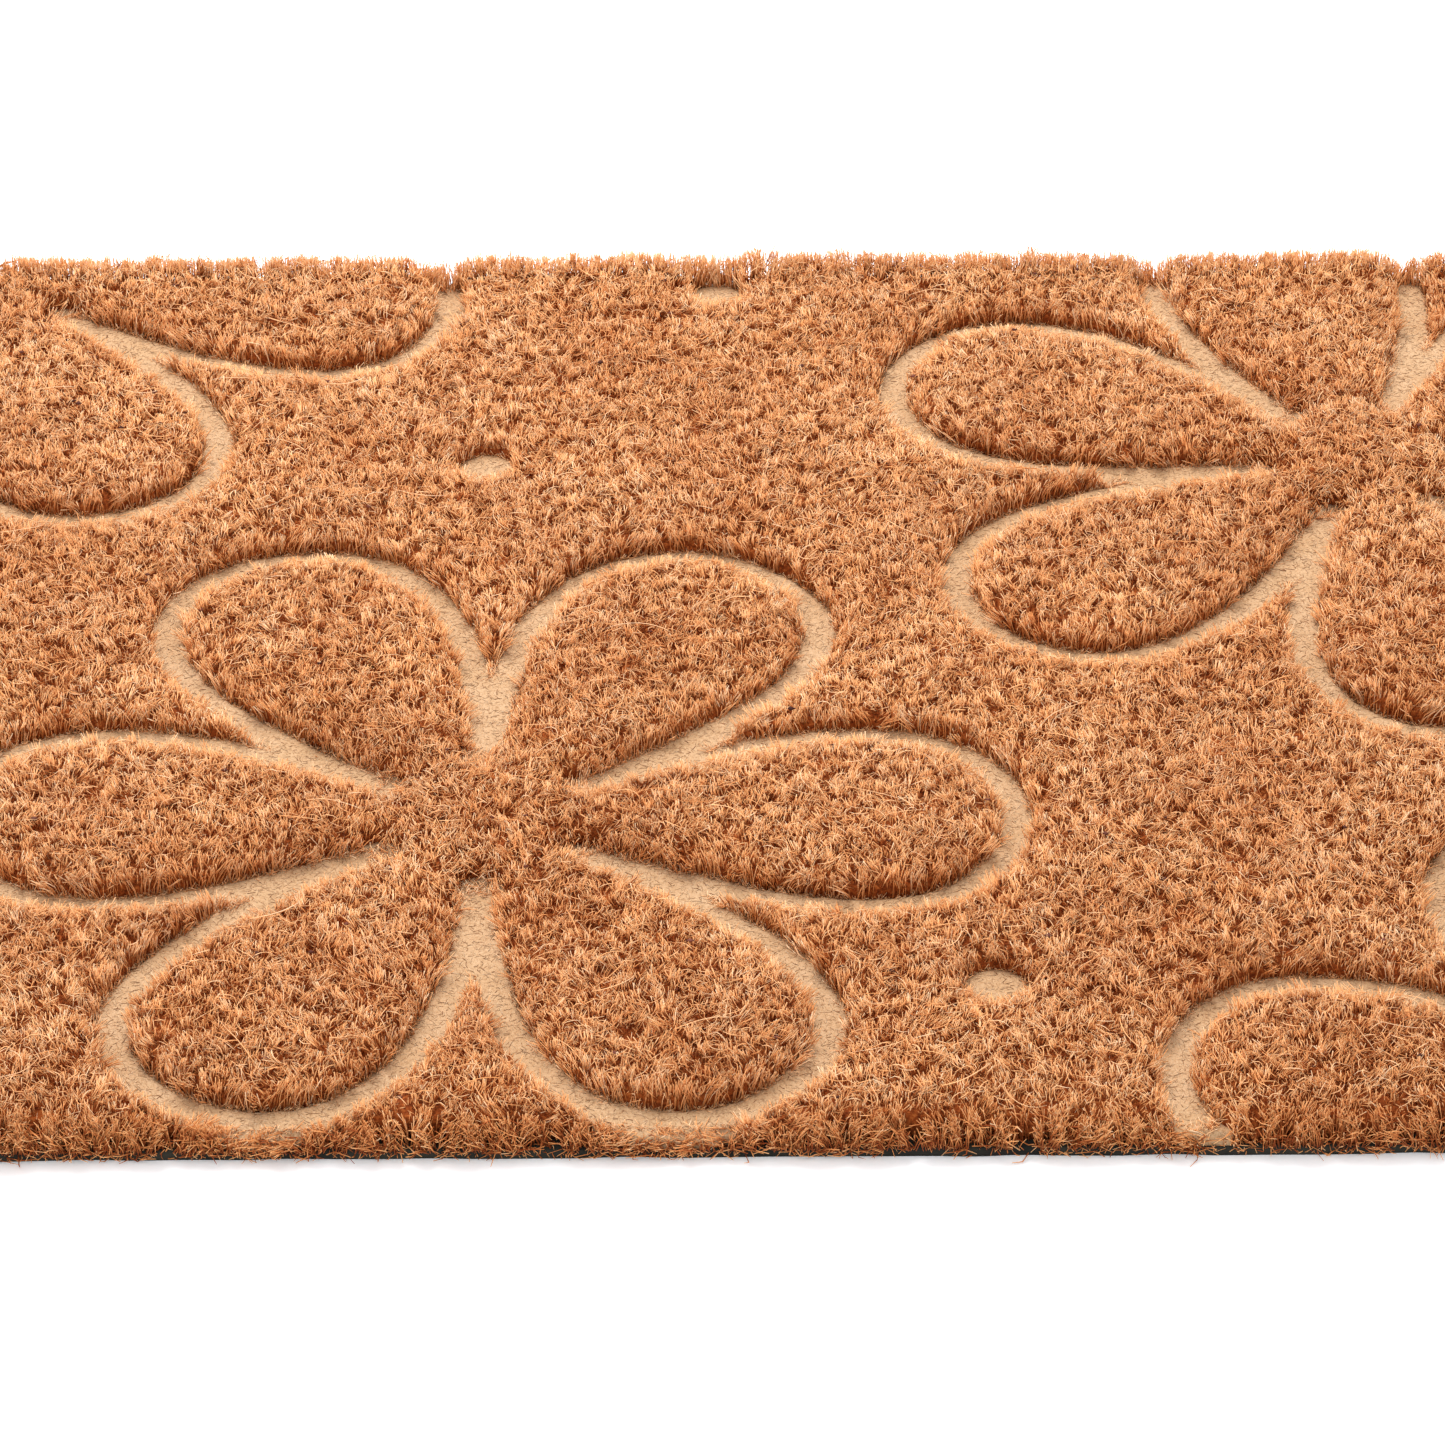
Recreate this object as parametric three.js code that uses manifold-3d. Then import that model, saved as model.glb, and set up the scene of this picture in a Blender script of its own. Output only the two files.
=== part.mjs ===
// Coir door mat with a pressed flower pattern, in millimetres, +Z up.
//
// The mat lies on the floor with its long side along X. The origin is the middle of its underside.
// A thin PVC backing carries one brush of upright coir. Hot tools press flower outlines and small
// dots down into that brush, which leaves raised zones of pile with flat, felted bands between them.
// Each raised zone and each pressed band is a solid of its own, standing on the backing.

import * as THREE from 'three';
import { mergeVertices } from 'three/addons/utils/BufferGeometryUtils.js';
import Module from 'manifold-3d';

const wasm = await Module();
wasm.setup();

// ---- driving dimensions ----

const MAT_LENGTH = 750;
const MAT_DEPTH = 450;
const BACKING_INSET = 1;          // the foot of the pile stands proud of the backing all round
const BACKING_TOP = 3;            // height of the backing's upper face
const PRESSED_TOP = 7.5;          // height of the felted bands and dots
const PILE_TOP = 16.5;            // height of the brush

const PETALS = 6;
const PETAL_REACH = 152;          // flower centre to the middle of the band at a petal's tip
const PETAL_SPREAD = THREE.MathUtils.degToRad(28.8);  // half angle between a petal's two sides
const PETAL_POINTS = 22;
const PETAL_START = 0.12;         // where a petal's outline begins, as a share of its reach
const BAND_WIDTH = 9.5;
const CORE_RADIUS = 33;           // the raised middle that joins a flower's petals
const CORE_LOBE = 6;              // how far the core swells into each petal
const CORE_POINTS = 72;
const DOT_RADIUS = 8.4;
const DOT_SIDES = 28;

const WALL_LEAN = 1.5;            // how much wider a groove is at the pile's tips than at its foot
const EDGE_LEAN = 4;              // how far the pile's tips stand in from the mat's cut edge
const GAP = 0.3;                  // clearance between a pressed band and the pile beside it
const SMALLEST_BODY = 150;        // trimmings smaller than this, in cubic mm, fall away

// Flowers and dots: centre x, centre y and, for flowers, the turn in degrees.
const FLOWERS = [
  [-68, -80, -0.5],
  [200, 111, -21.8],
  [-236, 224, -9],
  [268, -231, -15.5],
  [-385, -150, 12],
];
const DOTS = [
  [1, 214],
  [-71, 108],
  [74, -161],
  [345, -55],
  [-300, 35],
  [348, 198],
];

// ---- materials ----

const coir = new THREE.MeshStandardMaterial({ color: 0xc48a58, roughness: 0.95, metalness: 0 });
const felted = new THREE.MeshStandardMaterial({ color: 0xdfb083, roughness: 0.85, metalness: 0 });
const pvc = new THREE.MeshStandardMaterial({ color: 0x32332a, roughness: 0.6, metalness: 0 });

// ---- solids and booleans ----

function toSolid(geometry) {
  const bare = geometry.clone();
  bare.deleteAttribute('normal');
  bare.deleteAttribute('uv');
  const merged = mergeVertices(bare, 1e-4);
  return new wasm.Manifold(new wasm.Mesh({
    numProp: 3,
    vertProperties: new Float32Array(merged.attributes.position.array),
    triVerts: new Uint32Array(merged.index.array),
  }));
}

function toGeometry(solid) {
  const mesh = solid.getMesh();
  const geometry = new THREE.BufferGeometry();
  const positions = new Float32Array(mesh.vertProperties);
  geometry.setAttribute('position', new THREE.BufferAttribute(positions, 3));
  geometry.setIndex(new THREE.BufferAttribute(new Uint32Array(mesh.triVerts), 1));
  return geometry;
}

function union(solids) {
  return solids.reduce((whole, solid) => whole.add(solid));
}

// The corners of a rectangle centred on the origin, counter-clockwise.
function rectangle(length, depth) {
  const signs = [[-1, -1], [1, -1], [1, 1], [-1, 1]];
  return signs.map(([sx, sy]) => new THREE.Vector2((sx * length) / 2, (sy * depth) / 2));
}

// A closed body between two outlines that have the same number of points, counter-clockwise.
function loft(lower, upper, bottom, top) {
  const count = lower.length;
  const positions = [];
  lower.forEach((p) => positions.push(p.x, p.y, bottom));
  upper.forEach((p) => positions.push(p.x, p.y, top));
  const faces = [];
  for (let i = 0; i < count; i += 1) {
    const next = (i + 1) % count;
    faces.push(i, next, count + next);
    faces.push(i, count + next, count + i);
  }
  THREE.ShapeUtils.triangulateShape(lower, []).forEach(([a, b, c]) => faces.push(c, b, a));
  THREE.ShapeUtils.triangulateShape(upper, []).forEach(([a, b, c]) => {
    faces.push(count + a, count + b, count + c);
  });
  const geometry = new THREE.BufferGeometry();
  geometry.setAttribute('position', new THREE.BufferAttribute(new Float32Array(positions), 3));
  geometry.setIndex(faces);
  return toSolid(geometry);
}

// ---- flower outlines ----

// Half of a figure-of-eight curve: x = reach cos t, y = width sin 2t, moved sideways by `offset`,
// which is positive away from the petal's middle.
function petalOutline(offset, turn) {
  const width = (Math.tan(PETAL_SPREAD) * PETAL_REACH) / 2;
  const limit = Math.acos(PETAL_START);
  const points = [];
  for (let i = 0; i <= PETAL_POINTS; i += 1) {
    const t = limit * ((2 * i) / PETAL_POINTS - 1);
    const tangent = new THREE.Vector2(-PETAL_REACH * Math.sin(t), 2 * width * Math.cos(2 * t));
    tangent.normalize();
    const point = new THREE.Vector2(PETAL_REACH * Math.cos(t), width * Math.sin(2 * t));
    point.x += offset * tangent.y;
    point.y -= offset * tangent.x;
    points.push(point.rotateAround(new THREE.Vector2(), turn));
  }
  return points;
}

// The middle of the flower: a circle that swells towards each petal.
function coreOutline(offset) {
  const points = [];
  for (let i = 0; i < CORE_POINTS; i += 1) {
    const angle = (2 * Math.PI * i) / CORE_POINTS;
    const radius = CORE_RADIUS + offset + CORE_LOBE * Math.cos(PETALS * angle);
    points.push(new THREE.Vector2(radius * Math.cos(angle), radius * Math.sin(angle)));
  }
  return points;
}

// Six petals and the core, joined; the outlines are moved by one offset low down, another high up.
function flowerSolid(lowOffset, highOffset, coreOffset, bottom, top) {
  const pieces = [loft(coreOutline(coreOffset), coreOutline(coreOffset), bottom, top)];
  for (let k = 0; k < PETALS; k += 1) {
    const turn = (2 * Math.PI * k) / PETALS;
    const lower = petalOutline(lowOffset, turn);
    const upper = petalOutline(highOffset, turn);
    pieces.push(loft(lower, upper, bottom, top));
  }
  return union(pieces);
}

function placeFlower(solid, [x, y, turnDegrees]) {
  return solid.rotate([0, 0, turnDegrees]).translate([x, y, 0]);
}

// ---- the mat's pieces ----

const half = BAND_WIDTH / 2;
const pileBlock = loft(
  rectangle(MAT_LENGTH, MAT_DEPTH),
  rectangle(MAT_LENGTH - 2 * EDGE_LEAN, MAT_DEPTH - 2 * EDGE_LEAN),
  BACKING_TOP,
  PILE_TOP,
);
const flowerHole = flowerSolid(half, half + WALL_LEAN, 0, BACKING_TOP, PILE_TOP);
const flowerPile = flowerSolid(-half, -half - WALL_LEAN, 0, BACKING_TOP, PILE_TOP);
const bandOutside = flowerSolid(half - GAP, half - GAP, 0, BACKING_TOP, PRESSED_TOP);
const bandInside = flowerSolid(GAP - half, GAP - half, GAP, BACKING_TOP, PRESSED_TOP);
const flowerBand = bandOutside.subtract(bandInside);

function dotSolid([x, y], footRadius, tipRadius, top) {
  const height = top - BACKING_TOP;
  const cylinder = new THREE.CylinderGeometry(tipRadius, footRadius, height, DOT_SIDES);
  cylinder.rotateX(Math.PI / 2);
  cylinder.translate(x, y, BACKING_TOP + height / 2);
  return toSolid(cylinder);
}

function pileField() {
  const dotHoles = DOTS.map((dot) => dotSolid(dot, DOT_RADIUS, DOT_RADIUS + WALL_LEAN, PILE_TOP));
  const flowerHoles = FLOWERS.map((flower) => placeFlower(flowerHole, flower));
  return pileBlock.subtract(union([...dotHoles, ...flowerHoles]));
}

// ---- assembly ----

const mat = new THREE.Group();

function addBody(name, solid, material) {
  const mesh = new THREE.Mesh(toGeometry(solid), material);
  mesh.name = name;
  mat.add(mesh);
}

// A shape that the mat's cut edge divides becomes several bodies, lettered from the largest down.
function addBodies(name, solid, material) {
  const bodies = solid.decompose().filter((body) => body.volume() > SMALLEST_BODY);
  bodies.sort((a, b) => b.volume() - a.volume());
  bodies.forEach((body, i) => {
    const letter = bodies.length > 1 ? `_${String.fromCharCode(97 + i)}` : '';
    addBody(name + letter, body, material);
  });
}

const sheet = rectangle(MAT_LENGTH - 2 * BACKING_INSET, MAT_DEPTH - 2 * BACKING_INSET);
addBody('pvc_backing', loft(sheet, sheet, 0, BACKING_TOP), pvc);
addBodies('pile_field', pileField(), coir);
FLOWERS.forEach((flower, i) => {
  const number = i + 1;
  addBodies(`flower_${number}_pile`, placeFlower(flowerPile, flower).intersect(pileBlock), coir);
  addBodies(`flower_${number}_outline`, placeFlower(flowerBand, flower).intersect(pileBlock), felted);
});
DOTS.forEach((dot, i) => {
  addBody(`pressed_dot_${i + 1}`, dotSolid(dot, DOT_RADIUS - GAP, DOT_RADIUS - GAP, PRESSED_TOP), felted);
});

export default mat;
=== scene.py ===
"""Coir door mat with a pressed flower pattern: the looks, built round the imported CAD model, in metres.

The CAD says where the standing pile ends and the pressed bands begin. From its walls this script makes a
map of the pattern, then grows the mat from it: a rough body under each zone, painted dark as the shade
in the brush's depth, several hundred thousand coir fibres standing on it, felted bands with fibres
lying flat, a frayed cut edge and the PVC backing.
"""

import math

import bpy
import numpy as np
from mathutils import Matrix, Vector
from mathutils.bvhtree import BVHTree


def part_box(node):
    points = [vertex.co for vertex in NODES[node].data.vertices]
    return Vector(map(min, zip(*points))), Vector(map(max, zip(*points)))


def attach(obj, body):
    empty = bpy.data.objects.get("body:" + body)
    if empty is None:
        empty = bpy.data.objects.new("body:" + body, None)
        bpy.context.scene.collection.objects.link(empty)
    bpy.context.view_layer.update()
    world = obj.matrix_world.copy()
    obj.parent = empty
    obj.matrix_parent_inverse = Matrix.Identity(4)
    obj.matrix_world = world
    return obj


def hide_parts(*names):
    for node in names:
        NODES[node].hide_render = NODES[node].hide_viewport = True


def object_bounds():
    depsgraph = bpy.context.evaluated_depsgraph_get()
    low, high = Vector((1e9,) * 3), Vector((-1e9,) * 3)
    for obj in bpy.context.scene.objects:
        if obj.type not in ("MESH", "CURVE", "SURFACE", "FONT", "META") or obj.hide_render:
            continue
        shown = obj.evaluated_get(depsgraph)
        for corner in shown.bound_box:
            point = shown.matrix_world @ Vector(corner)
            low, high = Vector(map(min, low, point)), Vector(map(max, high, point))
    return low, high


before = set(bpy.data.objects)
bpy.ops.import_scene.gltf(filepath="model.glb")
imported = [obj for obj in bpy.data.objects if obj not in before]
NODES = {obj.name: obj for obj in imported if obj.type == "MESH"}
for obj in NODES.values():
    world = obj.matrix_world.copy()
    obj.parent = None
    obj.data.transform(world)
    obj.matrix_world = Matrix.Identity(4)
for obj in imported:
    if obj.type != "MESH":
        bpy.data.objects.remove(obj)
CAD_LOW, CAD_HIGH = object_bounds()

# ---- driving values ----

MM = 0.001
SEED = 11

X_LOW, Y_LOW = CAD_LOW.x, CAD_LOW.y
X_HIGH, Y_HIGH = CAD_HIGH.x, CAD_HIGH.y
PILE_TOP = CAD_HIGH.z
BACKING_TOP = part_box("pvc_backing")[1].z
PRESSED_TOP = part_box("pressed_dot_1")[1].z

MAP_STEP = 1.0 * MM            # spacing of the pattern map
PROBE_LIFT = 0.2 * MM          # the map is taken this far above the backing, where a point inside a
PROBE_LIMIT = 0.25 * MM        # pile node is never farther than that from the node's surface
FIBRE_SPACING = 0.78 * MM      # one standing fibre in each square of this size
FIBRE_RADIUS = 0.16 * MM
TUFT_PITCH = 3.2 * MM          # the fibres stand in small tufts
PIT_DEPTH = 2.7 * MM           # and leave gaps between them
CLUMP_PITCH = 7 * MM           # along the near edge they draw together into bigger clumps
CLUMP_PULL, CLUMP_REACH = 0.75, 6 * MM

# The flowers' middles on the plan, in mm, as in the CAD's own list: there the bands taper and end.
FLOWERS = ((-68, -80), (200, 111), (-236, 224), (268, -231), (-385, -150))
TAPER_FROM, TAPER_BY = 80 * MM, 1.8 * MM
BAND_END, BAND_END_SOFTNESS = 37 * MM, 4 * MM
BAND_END_CLOSING = 5 * MM
DOT_MIDDLES = [tuple((sum(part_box(n), Vector()) / 2).xy) for n in NODES if "dot" in n]
DOT_REACH = 12 * MM

LOW_PILE = PRESSED_TOP + 1.0 * MM   # where pressing has flattened the pile, it ends just above the felt
BULK_REACH = 3 * MM
FLAT_BULK, BULK_RANGE = 0.2, 0.28   # the pile is flat up to this share of pile around it, then rises
RIM_DROP = 5.2 * MM            # how much lower the tips stand beside a pressed band
RIM_TILT = 2.4 * MM            # and less so behind it than in front, as the brush leans forward
RIM_REACH = 4.2 * MM
EDGE_DROPS = (2.0 * MM, 2.0 * MM, 4.5 * MM, 0.0 * MM)   # at the left, right, near and far edge
EDGE_REACH = 4.5 * MM
FAR_RIM_REACH = 5 * MM         # at the far edge the brush stands a little taller
FAR_RIM_RISE_MM = 3.4
FRONT_REACH = 9 * MM           # the near edge's hollowed strip, where the fibres are painted darker as shade
UNPRESSED_RIM = 3.5 * MM       # along the cut edge some pile has sprung back over the bands' ends
UNPRESSED_CLOSING = 7 * MM

WALL_ZONE = 3 * MM             # how far in from a groove's wall its long strands stand
RIM_ZONE = 4.5 * MM            # and how far in from the cut edge
FAR_RIM_ZONE = 3 * MM          # the far rim, seen against the floor, is twice as dense
EDGE_FIBRE_SPACING = 0.15 * MM
EDGE_FRAY = (1.0, 0.6, 0.35, 0.6)   # how far they stick out at the near, right, far and left edge
FRINGE_LOW, FRINGE_HIGH = -1.1 * MM, 1.3 * MM   # the fringe's border strip, from band to pile

FELT_SLOT_MM = 1.4             # how deep the felt sinks beside the pile, at most
FELT_SLOT_WIDTH = 1.3 * MM
DOT_RISE_MM = 1.2              # how much higher the dots' felt lies

BODY_CELL = 2.5 * MM           # grid of the bodies under the pile
BODY_INSET = 1.6 * MM
BODY_DEPTH = 4.4 * MM          # how far a body lies below the tips of its fibres
BAND_CELL = 1.25 * MM          # grid of the pressed bands
BAND_REACH = 2.2 * MM          # the felt runs on a little under the pile
BACKING_CELL = 6.0 * MM
PIECE_TRIANGLES = 180_000      # fibres are shared out among pieces of at most this size
SLIVER_TRIANGLES, BENT_TRIANGLES = 4, 14

PILE_NODES = sorted(n for n in NODES if "pile" in n)
PRESSED_NODES = sorted(n for n in NODES if "outline" in n or "dot" in n)

rng = np.random.default_rng(SEED)


# ---- smooth noise on the plan, with no state of its own ----

def lattice(i, j, seed):
    """A number from 0 to 1 for each whole-numbered point."""
    mixed = np.sin(i * 127.1 + j * 311.7 + seed * 74.7) * 43758.5453
    return mixed - np.floor(mixed)


def noise(x, y, size, seed):
    """Smooth values from -1 to 1 that change over a length of about `size`; each seed gives others."""
    u, v = x / size, y / size
    i, j = np.floor(u), np.floor(v)
    fu, fv = u - i, v - j
    su, sv = fu * fu * (3 - 2 * fu), fv * fv * (3 - 2 * fv)
    near = lattice(i, j, seed) * (1 - su) + lattice(i + 1, j, seed) * su
    far = lattice(i, j + 1, seed) * (1 - su) + lattice(i + 1, j + 1, seed) * su
    return 2 * (near * (1 - sv) + far * sv) - 1


# ---- the map of the pattern, read from the CAD walls ----

def joined_tree(names):
    """One search tree over the named nodes, and which node each of its faces belongs to."""
    points, faces, owners = [], [], []
    for index, name in enumerate(names):
        mesh = NODES[name].data
        first = len(points)
        points.extend(v.co.copy() for v in mesh.vertices)
        faces.extend([first + k for k in p.vertices] for p in mesh.polygons)
        owners.extend([index] * len(mesh.polygons))
    return BVHTree.FromPolygons(points, faces), owners


def distance_map(names, height):
    """For each map point at that height, the distance to the nearest named node, and that node."""
    tree, owners = joined_tree(names)
    distance = np.empty((len(MAP_Y), len(MAP_X)))
    owner = np.empty(distance.shape, int)
    for row, y in enumerate(MAP_Y):
        for column, x in enumerate(MAP_X):
            hit = tree.find_nearest((x, y, height))
            distance[row, column] = hit[3]
            owner[row, column] = owners[hit[2]]
    return distance, owner


MAP_X = np.linspace(X_LOW, X_HIGH, round((X_HIGH - X_LOW) / MAP_STEP) + 1)
MAP_Y = np.linspace(Y_LOW, Y_HIGH, round((Y_HIGH - Y_LOW) / MAP_STEP) + 1)
to_pile, PILE_OWNER = distance_map(PILE_NODES, BACKING_TOP + PROBE_LIFT)
to_pressed, PRESSED_OWNER = distance_map(PRESSED_NODES, (BACKING_TOP + PRESSED_TOP) / 2)

# Distance from the foot of a groove's wall: positive in the pile, negative in a pressed band.
WALL = np.where(to_pile > PROBE_LIMIT, -to_pile, to_pressed)
WALL_SLOPE_Y, WALL_SLOPE_X = np.gradient(WALL, MAP_STEP)


def read(values, x, y):
    """The map's value at any points of the plan, blended between its four neighbours."""
    u = np.clip((x - X_LOW) / MAP_STEP, 0, values.shape[1] - 1.001)
    v = np.clip((y - Y_LOW) / MAP_STEP, 0, values.shape[0] - 1.001)
    i, j = v.astype(int), u.astype(int)
    fv, fu = v - i, u - j
    low = values[i, j] * (1 - fu) + values[i, j + 1] * fu
    high = values[i + 1, j] * (1 - fu) + values[i + 1, j + 1] * fu
    return low * (1 - fv) + high * fv


def read_owner(owners, x, y):
    """The map's whole number at the point of the map that lies nearest."""
    j = np.clip(np.rint((x - X_LOW) / MAP_STEP).astype(int), 0, owners.shape[1] - 1)
    i = np.clip(np.rint((y - Y_LOW) / MAP_STEP).astype(int), 0, owners.shape[0] - 1)
    return owners[i, j]


def from_edge(x, y):
    """Distance in from the mat's cut edge, and the direction out to it."""
    gaps = np.stack([x - X_LOW, X_HIGH - x, y - Y_LOW, Y_HIGH - y])
    nearest = gaps.argmin(axis=0)
    out = np.array([[-1, 0], [1, 0], [0, -1], [0, 1]])[nearest]
    return gaps.min(axis=0), out


def blurred(values, reach):
    """The map smoothed over a distance, taking nothing from beyond the mat."""
    steps = np.arange(-round(3 * reach / MAP_STEP), round(3 * reach / MAP_STEP) + 1)
    weights = np.exp(-0.5 * (steps * MAP_STEP / reach) ** 2)
    whole = np.ones_like(values)
    for axis in (0, 1):
        values = np.apply_along_axis(np.convolve, axis, values, weights, "same")
        whole = np.apply_along_axis(np.convolve, axis, whole, weights, "same")
    return values / whole


# How much pile stands round each point: one half along a straight wall, less in a narrow wedge.
BULK = blurred((WALL > 0).astype(float), BULK_REACH)


def edge_droop(x, y):
    """How much the pile droops at the mat's cut edge, which handling has bent down in front most."""
    gaps = (x - X_LOW, X_HIGH - x, y - Y_LOW, Y_HIGH - y)
    return sum(d * np.exp(-np.maximum(g, 0) / EDGE_REACH) for g, d in zip(gaps, EDGE_DROPS))


def near_dot(x, y):
    """From 1 on a pressed dot down to 0 beyond it."""
    middle = np.min([np.hypot(x - a, y - b) for a, b in DOT_MIDDLES], axis=0)
    return np.exp(-((middle / DOT_REACH) ** 4))


def at_far_edge(y):
    """From 1 at the far cut edge, where the pile stands upright, down to 0 within a few mm."""
    return np.exp(-np.maximum(Y_HIGH - y, 0) / FAR_RIM_REACH)


def standing(x, y):
    """From 0 where the tools have flattened the pile, as in narrow wedges, to 1 where it stands."""
    bulk = np.clip((read(BULK, x, y) - FLAT_BULK) / BULK_RANGE, 0, 1)
    return np.maximum(bulk, at_far_edge(y))


def pile_height(x, y):
    """Where the tips end: level, but lower beside the bands and the cut edge, and slightly uneven."""
    wall = np.maximum(read(WALL, x, y), 0)
    drop = RIM_DROP - RIM_TILT * np.clip(read(WALL_SLOPE_Y, x, y), -1, 1)
    rim = drop * np.exp(-wall / RIM_REACH) * (1 - 0.75 * at_far_edge(y))
    height = PILE_TOP - rim - edge_droop(x, y)
    height = LOW_PILE + np.maximum(height - LOW_PILE, 0) * standing(x, y)
    rows = noise(x * 0.16, y, 4.6 * MM, 3)
    swell = 0.4 * noise(x, y, 26 * MM, 1) + 0.4 * noise(x, y, 8 * MM, 2) + 0.4 * rows
    return height + (swell + FAR_RIM_RISE_MM * at_far_edge(y)) * MM


def felt_height(x, y):
    """The felt's top: nearly flat, sinking towards the pile, where in places a narrow slot is left."""
    wall = read(WALL, x, y)
    patchy = np.clip(0.5 + 0.9 * noise(x, y, 24 * MM, 12), 0.1, 1)
    slot = patchy * np.clip(0.5 + wall / FELT_SLOT_WIDTH, 0, 1)
    rough = 0.06 * noise(x, y, 2.6 * MM, 7) + 0.25 * noise(x, y, 9 * MM, 8)
    return PRESSED_TOP + (rough - FELT_SLOT_MM * slot + DOT_RISE_MM * near_dot(x, y)) * MM


def pits(x, y):
    """From 0 on the tufts to 1 in the gaps between them."""
    field = noise(x, y, 2.7 * MM, 71) + 0.55 * noise(x, y, 6.5 * MM, 72)
    return np.clip((field - 0.3) / 0.5, 0, 1)


# ---- meshes from arrays ----

def mesh_piece(name, points, faces, material, shade=None):
    """An object from arrays of points and of triangles or quads, with each point's shade if given."""
    corners = faces.shape[1]
    mesh = bpy.data.meshes.new(name)
    mesh.vertices.add(len(points))
    mesh.loops.add(faces.size)
    mesh.polygons.add(len(faces))
    mesh.vertices.foreach_set("co", points.astype(np.float32).ravel())
    mesh.loops.foreach_set("vertex_index", faces.astype(np.int32).ravel())
    mesh.polygons.foreach_set("loop_start", np.arange(0, faces.size, corners, dtype=np.int32))
    mesh.update(calc_edges=True)
    mesh.shade_smooth()
    if shade is not None:
        attribute = mesh.attributes.new("shade", "FLOAT", "POINT")
        attribute.data.foreach_set("value", shade.astype(np.float32))
    low, high = points[:, :2].min(axis=0), points[:, :2].max(axis=0)
    plan = ((points[:, :2] - low) / (high - low))[faces.ravel()]
    # A plan view as the piece's texture space, so that a baked colour lies where its fibre stands.
    uv = mesh.uv_layers.new(name="OFBake")
    uv.uv.foreach_set("vector", plan.astype(np.float32).ravel())
    mesh.materials.append(material)
    piece = bpy.data.objects.new(name, mesh)
    bpy.context.scene.collection.objects.link(piece)
    return piece


def finish_piece(piece, slot, *replaced):
    """Every piece rides on the mat's one body; its slot is not used. Some replace CAD nodes."""
    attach(piece, "root")
    if replaced:
        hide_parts(*replaced)


# ---- materials ----

def node(tree, kind, **settings):
    """A new shader node with those settings."""
    made = tree.nodes.new(kind)
    for key, value in settings.items():
        setattr(made, key, value)
    return made


def srgb(r, g, b):
    """A colour given as it looks on a screen, from 0 to 255, as the linear one that shaders use."""
    def linear(c):
        c /= 255
        return c / 12.92 if c <= 0.04045 else ((c + 0.055) / 1.055) ** 2.4
    return (linear(r), linear(g), linear(b), 1)


def ramp(tree, source, stops):
    """A colour ramp over the source, with stops as (position, colour)."""
    made = node(tree, "ShaderNodeValToRGB")
    elements = made.color_ramp.elements
    while len(elements) < len(stops):
        elements.new(0.5)
    for element, (position, colour) in zip(elements, stops):
        element.position = position
        element.color = colour
    tree.links.new(source, made.inputs["Fac"])
    return made.outputs["Color"]


def texture(tree, kind, **inputs):
    """A procedural texture fixed to the object, with its inputs set by name."""
    place = node(tree, "ShaderNodeTexCoord")
    made = node(tree, kind)
    for name, value in inputs.items():
        made.inputs[name].default_value = value
    tree.links.new(place.outputs["Object"], made.inputs["Vector"])
    return made


def tinted(tree, colour, scale, low):
    """The colour multiplied by a noise that runs from the colour `low` to white."""
    cloud = texture(tree, "ShaderNodeTexNoise", Scale=scale, Detail=3)
    tint = ramp(tree, cloud.outputs["Fac"], [(0.36, low), (0.64, (1, 1, 1, 1))])
    mix = node(tree, "ShaderNodeMix", data_type="RGBA", blend_type="MULTIPLY")
    mix.inputs["Factor"].default_value = 1
    tree.links.new(colour, mix.inputs["A"])
    tree.links.new(tint, mix.inputs["B"])
    return mix.outputs["Result"]


def new_material(name, roughness, specular):
    """A material, its node tree and its shader."""
    material = bpy.data.materials.new(name)
    material.use_nodes = True
    shader = material.node_tree.nodes["Principled BSDF"]
    shader.inputs["Roughness"].default_value = roughness
    shader.inputs["Specular IOR Level"].default_value = specular
    return material, material.node_tree, shader


def fibre_material(name, stops):
    """Coir fibre: each has its own shade, which also carries painted shade at the feet and in dim places
    and painted light at the tips, and patches of the mat run a little redder or paler.
    """
    material, tree, shader = new_material(name, 0.7, 0.15)
    shade = node(tree, "ShaderNodeAttribute", attribute_name="shade")
    colour = ramp(tree, shade.outputs["Fac"], stops)
    colour = tinted(tree, colour, 28, (0.88, 0.8, 0.75, 1))
    tree.links.new(colour, shader.inputs["Base Color"])
    return material


def bump(tree, shader, source, distance, strength):
    """Relief of the shader's surface, as high as the source times the distance."""
    made = node(tree, "ShaderNodeBump")
    made.inputs["Distance"].default_value = distance
    made.inputs["Strength"].default_value = strength
    tree.links.new(source, made.inputs["Height"])
    tree.links.new(made.outputs["Normal"], shader.inputs["Normal"])


def depth_painted_shade_material():
    """The brush's depth seen between the fibres: mottled brown, rough, painted dark as the shade down
    there.
    """
    material, tree, shader = new_material("coir_depth_painted_shade", 0.95, 0.1)
    grain = texture(tree, "ShaderNodeTexNoise", Scale=900, Detail=4)
    # Darker than the fibres themselves: painted shade of the brush's depth.
    stops = [(0.3, srgb(84, 32, 10)), (0.55, srgb(136, 66, 26)), (0.75, srgb(176, 100, 48))]
    colour = ramp(tree, grain.outputs["Fac"], stops)
    tree.links.new(colour, shader.inputs["Base Color"])
    bump(tree, shader, grain.outputs["Fac"], 0.6 * MM, 1.0)
    return material


def felt_material():
    """Pressed coir: pale and matt, with short flat fibres and specks in it."""
    material, tree, shader = new_material("felted_coir", 0.85, 0.2)
    grain = texture(tree, "ShaderNodeTexNoise", Scale=1400, Detail=5, Distortion=1.2)
    stops = [(0.3, srgb(150, 113, 78)), (0.45, srgb(179, 144, 108)), (0.7, srgb(194, 162, 128))]
    colour = ramp(tree, grain.outputs["Fac"], stops)
    colour = tinted(tree, colour, 60, (0.92, 0.88, 0.82, 1))
    tree.links.new(colour, shader.inputs["Base Color"])
    bump(tree, shader, grain.outputs["Fac"], 0.1 * MM, 0.25)
    return material


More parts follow.
